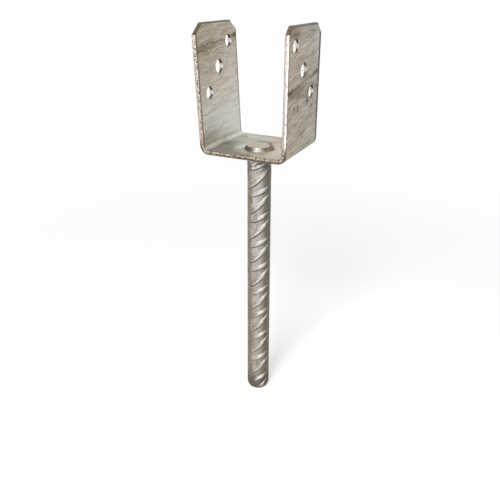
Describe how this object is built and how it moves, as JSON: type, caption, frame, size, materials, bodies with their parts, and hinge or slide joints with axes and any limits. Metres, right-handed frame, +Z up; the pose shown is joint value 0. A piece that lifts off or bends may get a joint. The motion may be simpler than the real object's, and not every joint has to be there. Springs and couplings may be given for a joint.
{
  "type": "post support",
  "caption": "U-shaped galvanised post base: a bent strip fork with bolt holes, welded on a ribbed bar for casting into concrete.",
  "frame": {"origin": "on the bar's axis, at the underside of the fork's seat", "axes": "+Z up along the bar's axis towards the fork, +X from the left flange to the right one, +Y along the strip's width to the back"},
  "size_m": [0.0854, 0.07, 0.3476],
  "materials": {
    "galvanised_strip": "hot-dip galvanised, dull grey with stains and diagonal streaks",
    "galvanised_bar": "hot-dip galvanised, satin grey",
    "galvanised_weld": "hot-dip galvanised weld metal, rough"
  },
  "bodies": {
    "root": {"post_fork": "galvanised_strip", "ribbed_rod": "galvanised_bar", "upper_weld": "galvanised_weld", "lower_weld": "galvanised_weld"}
  },
  "joints": []
}
